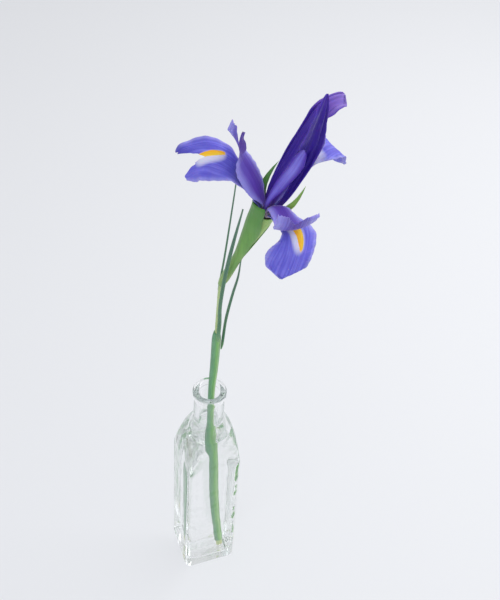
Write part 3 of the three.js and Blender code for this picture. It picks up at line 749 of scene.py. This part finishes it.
# ---- stem, leaves and spathe ----
def stalk():
    """The stem, the leaf sheath wrapped round it, and the ovary with the flower's tube."""
    line = smooth_line([
        (12.6, 0, FLOOR + GAP + 0.35), (9.5, 0.4, 40), (5.3, 0.9, 90), (3.4, 1, 140),
        (2.6, 0.8, 190), (1.2, -1.5, 243), (1.1, -5.2, 279), (0, -10.3, 324), (-1.3, -15.2, 358),
        on_axis(SPATHE, 0), on_axis(SPATHE, 34), on_axis(SPATHE, OVARY_FOOT - GAP),
    ], 480)
    facing = (0, 1, 0)
    rib = rib_from_line(line, facing)
    stem_keys = [(0, 3.1), (0.06, 2.9), (0.38, 2.4), (0.5, 1.9), (1, STEM_TOP_RADIUS)]
    ridges, ridge_height = 9, 0.02
    skin = leafy("stem_skin", [
        (0.0, "#d2dc9c"), (0.06, "#b4cc8c"), (0.4, "#9cbc7c"), (0.7, "#bcce8c"),
        (0.8, "#c6d69a"), (1.0, "#9cbc68"),
    ], "#98b472", 0.7)

    def stem_radius(place, turn):
        return follow(stem_keys, place) * (1 + ridge_height * math.cos(ridges * turn))

    tube("stem", rib, stem_radius, skin, (48, 260))

    sheath_keys = [(SHEATH_BOTTOM, 4.1), (0.3, 4.4), (0.4, 3.6), (0.5, 2.9), (0.6, 3.4),
                   (0.69, 3.6), (0.705, 3.2), (SHEATH_TOP, 2.5)]
    seam_depth = 0.35
    low = round(SHEATH_BOTTOM * (len(rib) - 1))
    high = round(SHEATH_TOP * (len(rib) - 1))

    def sheath_radius(along, turn):
        place = SHEATH_BOTTOM + along * (SHEATH_TOP - SHEATH_BOTTOM)
        # The seam where the leaf's edges meet sways from side to side up the stem.
        seam_at = 0.8 - 0.6 * math.sin(5 * place)
        seam = math.sin(turn - seam_at) * 0.5 + 0.5
        return follow(sheath_keys, place) - seam_depth * seam**3

    skin = leafy("sheath_skin", [
        (0.0, "#8fbb92"), (0.25, "#5f9270"), (0.4, "#6fa878"), (0.5, "#7fc062"), (0.58, "#b0d890"),
        (0.66, "#6cae54"), (0.8, "#6a9f70"), (1.0, "#8fbb92"),
    ], "#4f8a5c", 0.9, run="across")
    tube("leaf_sheath", rib[low:high + 1], sheath_radius, skin, (64, 260))

    ovary_line = smooth_line([
        on_axis(SPATHE, OVARY_FOOT), on_axis(SPATHE, OVARY_FOOT + 17),
        on_axis(FLOWER, -3), on_axis(FLOWER, 0),
    ], 60)
    swell = [(0, STEM_TOP_RADIUS), (0.12, 2.5), (0.6, 2.5), (0.78, 2.2), (0.9, 3),
             (0.97, TUBE_TOP_RADIUS)]
    skin = leafy("ovary_skin", [
        (0.0, "#8fae62"), (0.6, "#a9bb7c"), (0.8, "#b9a6b4"), (1.0, "#d7c4d6"),
    ], "#8f9c6c", 0.9)
    tube("ovary", rib_from_line(ovary_line, facing), lambda place, turn: follow(swell, place),
         skin, (36, 60))


def leaves():
    """Three narrow leaves, each folded along its middle like a keel."""
    specs = {
        "leaf_left": {
            "points": [(-1.9, -15.9, 376), (-1, -15.8, 386), (1.2, -15.7, 407), (4.3, -17, 454),
                       (5.5, -17.5, 474)],
            "facing": (-1, 1, 0),
            "width": [(0, 1.3), (0.3, 1.1), (0.7, 0.7), (1, 0.35)],
        },
        "leaf_front": {
            "points": [(-0.3, -14, 317), (-1.8, -20, 345), (-4, -25.4, 369), (-4.4, -33.5, 408),
                       (-4.2, -42, 440), (-3.6, -55, 483.5)],
            "facing": (-0.6, -1, 0),
            "width": [(0, 0.5), (0.05, 1.4), (0.3, 1.3), (0.7, 1.2), (1, 0.35)],
        },
        "leaf_right": {
            "points": [(4.6, -9, 302), (4.5, -10.7, 316), (5.6, -12, 339), (8.8, -14.8, 368),
                       (10.9, -17.8, 387), (11.5, -20.1, 406)],
            "facing": (1, 0.1, 0),
            "width": [(0, 0.5), (0.08, 1.7), (0.3, 1.7), (0.7, 1.2), (1, 0.4)],
        },
    }
    skin = leafy("leaf_blade", [
        (0.0, "#86b87c"), (0.12, "#568862"), (0.8, "#507c64"), (1.0, "#6c9078"),
    ], "#46745c", 0.6)
    for node, spec in specs.items():
        line = smooth_line(spec["points"], 160)
        rib = rib_from_line(line, spec["facing"])
        length = sum((b - a).length for a, b in zip(line, line[1:]))
        shape = {"width": spec["width"], "fold": 24, "length": length}
        add_blade(node, shape, rib, Matrix.Identity(4), LEAF_THICKNESS, skin, (10, 110))


SPATHE_FRONT = -113  # azimuth
FLATTER = [(40, 1), (75, 0.78), (97, 0.78), (112, 1)]  # height up the spathe, share of the depth


def flattened(azimuth):
    """Presses a bract flatter from front to back, as the two lie against each other."""
    turn = rad(SPATHE_FRONT - azimuth)
    front = Vector((math.cos(turn), math.sin(turn), 0))
    return lambda point: point + front * (follow(FLATTER, point.z) - 1) * point.dot(front)


def spathe():
    """The two green bracts that sheathe the flower's foot, one within the other."""
    bracts = {
        "spathe_outer": {
            "azimuth": 92,
            "flatten": flattened(92),
            "seat": (2.6, 0),
            "length": 128,
            "pitch": [(0, 79), (0.045, 84), (0.075, 89.9), (0.3, 89.5), (0.37, 85), (0.48, 83),
                      (0.6, 84), (0.78, 84), (0.83, 63), (0.88, 54), (1, 54)],
            "yaw": [(0, 0), (0.8, 0), (0.88, -35), (1, -60)],
            "width": [(0, 6.1), (0.055, 8.1), (0.32, 8.6), (0.42, 11.4), (0.55, 15.9),
                      (0.67, 19.2), (0.76, 18.6), (1, 18.6)],
            "cup": [(0, 136), (0.6, 136), (0.76, 120), (1, 120)],
            "crop": [(0, 1), (0.143, 0.85), (0.286, 0.81), (0.429, 0.812), (1, 0.815)],
            "lopsided": 0.265,
            "slant": 0.062,
        },
        "spathe_inner": {
            "azimuth": -30,
            "flatten": flattened(-30),
            "seat": (2.35, 6),
            "length": 125,
            "pitch": [(0, 89.9), (0.27, 89.5), (0.34, 85), (0.46, 83.2), (0.6, 84), (0.76, 84),
                      (0.8, 66), (0.85, 56), (1, 80)],
            "yaw": [(0, 0), (0.79, 0), (0.87, 50), (1, 90)],
            "width": [(0, 4.6), (0.28, 4.8), (0.39, 6.8), (0.52, 10.5), (0.65, 13.6), (0.75, 15),
                      (1, 15)],
            "cup": 112,
            "lopsided": -0.12,
            "crop": [(0, 1), (0.143, 0.84), (0.286, 0.76), (0.429, 0.747), (1, 0.735)],
        },
    }
    skins = {
        # Painted shade: the outer bract darkens towards its tip, where the standards shade it.
        "spathe_outer": leafy("outer_bract", [
            (0.0, "#9cb86c"), (0.35, "#7fae54"), (0.7, "#67a040"), (1.0, "#4f8a3c"),
        ], "#4f8a38", 1.2),
        "spathe_inner": leafy("inner_bract", [
            (0.0, "#a2c468"), (0.5, "#a4c85a"), (0.8, "#a0c850"), (1.0, "#8fbc5c"),
        ], "#7ea848", 1.2),
    }
    for node, spec in bracts.items():
        base = SPATHE @ Matrix.Rotation(rad(spec["azimuth"]), 4, "Z")
        rib = rib_from_angles(spec, 320)
        add_blade(node, spec, rib, base, BRACT_THICKNESS, skins[node], (56, 88))


# ---- bottle and water ----
def square_reach(half, corner, angle):
    """How far a square with rounded corners reaches at an angle."""
    folded = angle % (math.pi / 2)
    turn = min(folded, math.pi / 2 - folded)
    inner = half - corner
    if half * math.tan(turn) <= inner:
        return half / math.cos(turn)
    toward = inner * (math.cos(turn) + math.sin(turn))
    return toward + math.sqrt(max(toward**2 - 2 * inner**2 + corner**2, 0))


def shoulder(body_half, body_corner, neck_radius, low, high):
    """Rows of the shoulder, which draws the square body in to the round neck.

    A row is its height, half its width and its corner radius.
    """
    rise = 0.98 * (high - low)
    rows = []
    for degrees in range(0, 73, 3):
        turn = rad(degrees)
        half = neck_radius + (body_half - neck_radius) * math.cos(turn)
        corner = body_corner + (half - body_corner) * math.sin(turn) ** 0.8
        rows.append((low + rise * math.sin(turn), half, corner))
    return rows


def spread(rows, step=4):
    """Adds rows between rows that stand far apart, so that the wall can be uneven."""
    full = [rows[0]]
    for row in rows[1:]:
        count = max(math.ceil(abs(row[0] - full[-1][0]) / step), 1)
        last = full[-1]
        for k in range(1, count + 1):
            full.append(tuple(a + (b - a) * k / count for a, b in zip(last, row)))
    return full


def outer_rows():
    """The outside, from the foot to the top of the lip."""
    foot, draft, sharper = 3, 0.06, 2  # the foot's rounding, its draft, and its closer corner
    rows = []
    for degrees in range(0, 91, 15):
        out = math.sin(rad(degrees))
        rows.append((foot - foot * math.cos(rad(degrees)),
                     BODY_HALF - (foot - draft) * (1 - out),
                     BODY_CORNER - sharper * (1 - out)))
    rows += shoulder(BODY_HALF, BODY_CORNER, NECK_RADIUS, SHOULDER_START, NECK_START)
    lip = BOTTLE_HEIGHT - LIP_HEIGHT
    rows += [
        (NECK_START + 2, NECK_RADIUS, NECK_RADIUS),
        (lip - 1, NECK_RADIUS - 0.6, NECK_RADIUS),
        (lip - 0.3, NECK_RADIUS - 0.3, NECK_RADIUS),
    ]
    edge = 1.6  # rounding of the lip's lower and upper edge
    turns = [(lip + edge, t) for t in range(-90, 1, 18)]
    turns += [(BOTTLE_HEIGHT - edge, t) for t in range(0, 91, 15)]
    for centre, degrees in turns:
        rows.append((centre + edge * math.sin(rad(degrees)),
                     LIP_RADIUS - edge * (1 - math.cos(rad(degrees))), LIP_RADIUS))
    return rows


def cavity_rows(clear=0):
    """The inside, from its floor to the mouth, drawn in by a clearance."""
    half = BODY_HALF - WALL - clear
    bore = BORE_RADIUS - clear
    floor = FLOOR + clear
    turn_up = 5  # rounding between floor and wall
    mouth, flare = 2.5, 2  # height of the rounded mouth, and how far it opens
    rows = []
    for degrees in range(0, 91, 10):
        rows.append((floor + turn_up * (1 - math.cos(rad(degrees))),
                     half - turn_up * (1 - math.sin(rad(degrees))), CAVITY_CORNER))
    rows += shoulder(half, CAVITY_CORNER, bore, SHOULDER_START - 2, NECK_START - 1)
    rows += [(NECK_START + 2, bore, bore), (BOTTLE_HEIGHT - mouth, bore, bore)]
    for degrees in range(15, 91, 15):
        rows.append((BOTTLE_HEIGHT - mouth * (1 - math.sin(rad(degrees))),
                     bore + flare * (1 - math.cos(rad(degrees))), bore + flare))
    return rows


def hand_made(point, height):
    """Unevenness of blown glass: slow swells that die out at the foot and at the neck."""
    still_foot, still_neck = 12, 215  # heights beyond which the wall is even
    above_foot = min(max((point.z - still_foot) / 20, 0), 1)
    below_neck = min(max((still_neck - point.z) / 30, 0), 1)
    swell = noise.noise(point * SLOW_SWELL) + 0.5 * noise.noise(point * QUICK_SWELL)
    out = Vector((point.x, point.y, 0)).normalized()
    return point + out * swell * height * above_foot * below_neck


def ring_point(row, across):
    """A point of a row of the bottle; the grid lies closer together at the corners."""
    quarter, part = divmod((across + 1) * 2, 1)
    bias = 2 * part - 1
    angle = (quarter + 0.5 + 0.5 * math.copysign(abs(bias) ** 1.5, bias)) * math.pi / 2
    height, half, corner = row
    reach = square_reach(half, min(corner, half), angle)
    return Vector((reach * math.cos(angle), reach * math.sin(angle), height))


def let_light_through(piece):
    """Clear glass and water throw no dark shadow of their own."""
    piece.visible_shadow = False
    piece.visible_diffuse = False


def bottle():
    """The bottle and its water."""
    outside = [(row, OUTER_SWELL) for row in spread(outer_rows())]
    inside = [(row, INNER_SWELL) for row in reversed(spread(cavity_rows(), INNER_STEP))]

    # The water wets the glass and the stem, so it reaches a hair's breadth into both.
    wet = 0.12
    filled = [row for row in spread(cavity_rows(-wet), INNER_STEP) if row[0] < WATER_LEVEL]
    filled.append((WATER_LEVEL, *filled[-1][1:]))

    bodies = {
        "glass_bottle": (outside + inside, bottle_glass()),
        "water": ([(row, INNER_SWELL) for row in filled], tap_water()),
    }
    for node, (rows, material) in bodies.items():
        def point_at(across, along):
            row, swell = rows[round(along * (len(rows) - 1))]
            return hand_made(ring_point(row, across), swell), Vector((across, along, 0))

        piece = loft(node + "_fine", point_at, (FACETS, len(rows) - 1), wrapped=True)
        dress(piece, node, material)
        let_light_through(piece)


# ---- studio ----
def studio():
    """A pale floor in a softly lit room, with one large lamp as the window and a weaker one."""
    scene = bpy.context.scene
    scene.view_settings.view_transform = "Standard"
    world = bpy.data.worlds.new("soft_room")
    scene.world = world
    world.use_nodes = True
    sky = world.node_tree.nodes["Background"]
    sky.inputs["Color"].default_value = colour("#f6f7f9")
    sky.inputs["Strength"].default_value = 0.75
    # Light crosses the thick glass many times, and fewer bounces leave black rings in the lip.
    for limit in ("max_bounces", "transmission_bounces", "glossy_bounces"):
        setattr(scene.cycles, limit, 32)

    bm = bmesh.new()
    half_floor, below = 4, 0.1 * MM
    bmesh.ops.create_grid(bm, x_segments=1, y_segments=1, size=half_floor)
    bmesh.ops.translate(bm, verts=bm.verts, vec=(0, 0, -below))
    mesh = bpy.data.meshes.new("floor")
    bm.to_mesh(mesh)
    bm.free()
    floor = bpy.data.objects.new("floor", mesh)
    scene.collection.objects.link(floor)
    mesh.materials.append(painted_board())

    aim = Vector((0, 0, 0.35))

    def softbox(name, at, size, power, code):
        light = bpy.data.lights.new(name, "AREA")
        light.shape = "DISK"
        light.size = size
        light.energy = power
        light.color = colour(code)[:3]
        lamp = bpy.data.objects.new(name, light)
        lamp.location = at
        lamp.rotation_mode = "QUATERNION"
        lamp.rotation_quaternion = (aim - Vector(at)).to_track_quat("-Z", "Y")
        scene.collection.objects.link(lamp)

    softbox("window", (1.1, 0.2, 1.5), 1.3, 14, "#ffffff")
    softbox("fill", (-1.2, -0.9, 1.2), 1.2, 5, "#f4f8ff")


def camera():
    """The camera, without depth of field or shift."""
    scene = bpy.context.scene
    lens = bpy.data.cameras.new("camera")
    lens.lens = LENS
    lens.sensor_width = 36
    lens.clip_start = 0.05
    eye = bpy.data.objects.new("camera", lens)
    level = Vector((math.cos(rad(HEADING)), math.sin(rad(HEADING)), 0))
    look = level * math.cos(rad(LOOK_DOWN)) + Vector((0, 0, -math.sin(rad(LOOK_DOWN))))
    eye.location = EYE * MM
    eye.rotation_mode = "QUATERNION"
    eye.rotation_quaternion = look.to_track_quat("-Z", "Y") @ Quaternion((0, 0, 1), rad(ROLL))
    scene.collection.objects.link(eye)
    scene.camera = eye


camera()
studio()
bottle()
stalk()
leaves()
spathe()
stamens()
bloom()
